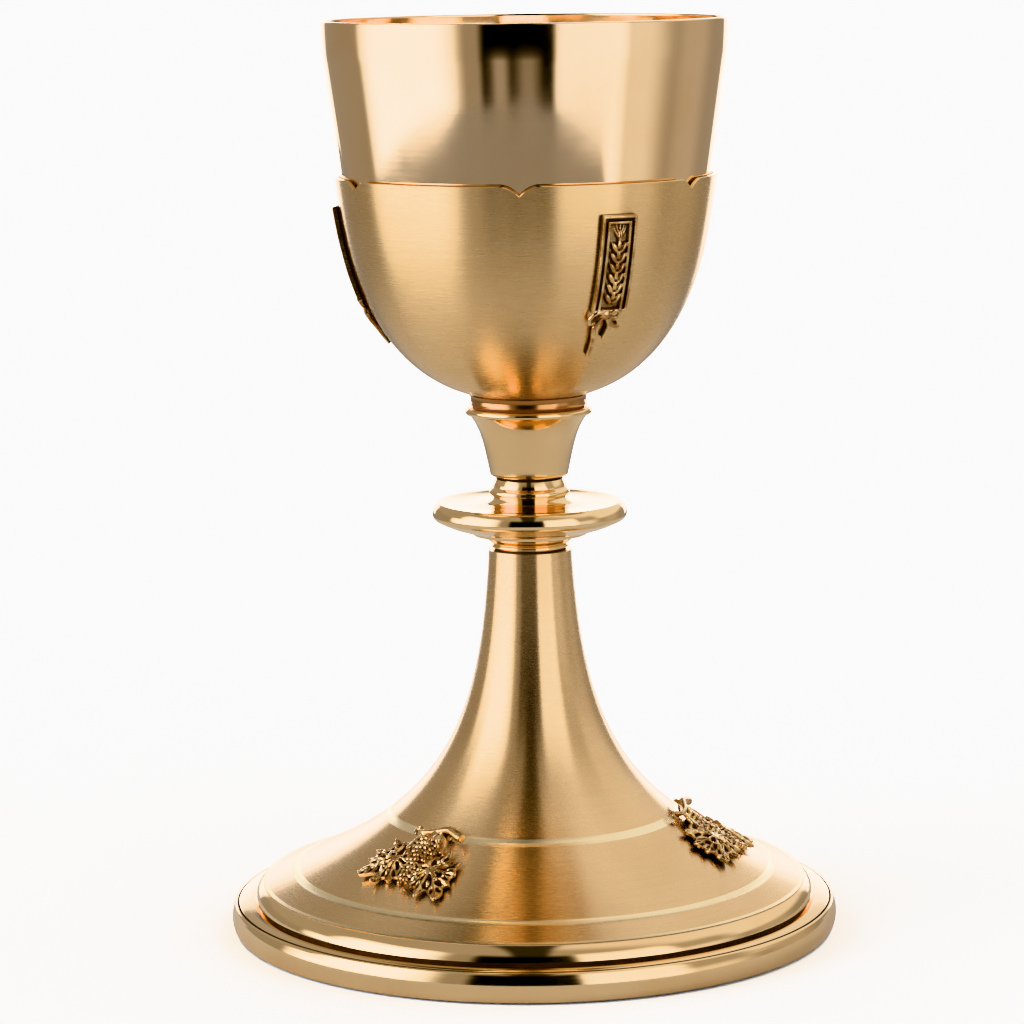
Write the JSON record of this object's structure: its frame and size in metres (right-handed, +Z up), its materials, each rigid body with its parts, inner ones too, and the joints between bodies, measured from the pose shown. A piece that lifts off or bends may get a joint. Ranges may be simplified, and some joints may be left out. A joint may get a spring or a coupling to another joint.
{
  "type": "communion chalice",
  "caption": "Gilt communion chalice: cup in a notched calyx with wheat plaques, beaded stem with flat knop, trumpet foot with vine castings on a stepped base.",
  "frame": {"origin": "centre of the base ring's rest face, on the chalice's axis at the table's surface", "axes": "+Z up along the axis towards the rim, -Y towards the front, where a bracket notch of the calyx sits close to the middle"},
  "size_m": [0.134, 0.134, 0.2],
  "materials": {
    "polished_gilt": "mirror-polished gold plate on brass",
    "satin_gilt": "satin gold plate, brushed round the axis on the lathe",
    "cast_gilt": "bright gold plate on cast relief, dark in the hollows",
    "cup_gilt": "polished pale gold plate",
    "plain_brass": "turned brass, unplated",
    "threaded_brass": "threaded brass rod, unplated",
    "spring_steel": "blackened spring steel",
    "fibre": "thin vulcanised fibre"
  },
  "bodies": {
    "foot": {"base_ring": "polished_gilt", "foot_shell": "satin_gilt", "vine_applique_1": "cast_gilt", "vine_applique_2": "cast_gilt", "vine_applique_3": "cast_gilt", "knop_collar": "polished_gilt", "knop": "polished_gilt", "neck_ring": "polished_gilt", "stem_flare": "polished_gilt", "tie_rod": "threaded_brass", "lock_nut": "plain_brass", "clamp_plate": "plain_brass", "spring_washer": "spring_steel", "foot_nut": "plain_brass"},
    "seat": {"seat_washer": "fibre"},
    "bowl": {"cup_boss": "plain_brass", "collar_ring": "polished_gilt", "calyx": "satin_gilt", "wheat_plaque_1": "cast_gilt", "wheat_plaque_2": "cast_gilt", "wheat_plaque_3": "cast_gilt", "cup": "cup_gilt"}
  },
  "joints": [
    {"name": "cup_turn", "type": "hinge", "parent": "foot", "child": "seat", "pos_m": [0, 0, 0.1161], "axis": [0, 0, 1], "range_deg": [0, 2880]},
    {"name": "cup_rise", "type": "slide", "parent": "seat", "child": "bowl", "axis": [0, 0, 1], "range_m": [0, 0.01]}
  ],
  "couplings": [
    {"joint": "cup_rise", "follows": "cup_turn", "m_per_rad": 0.00019894}
  ]
}
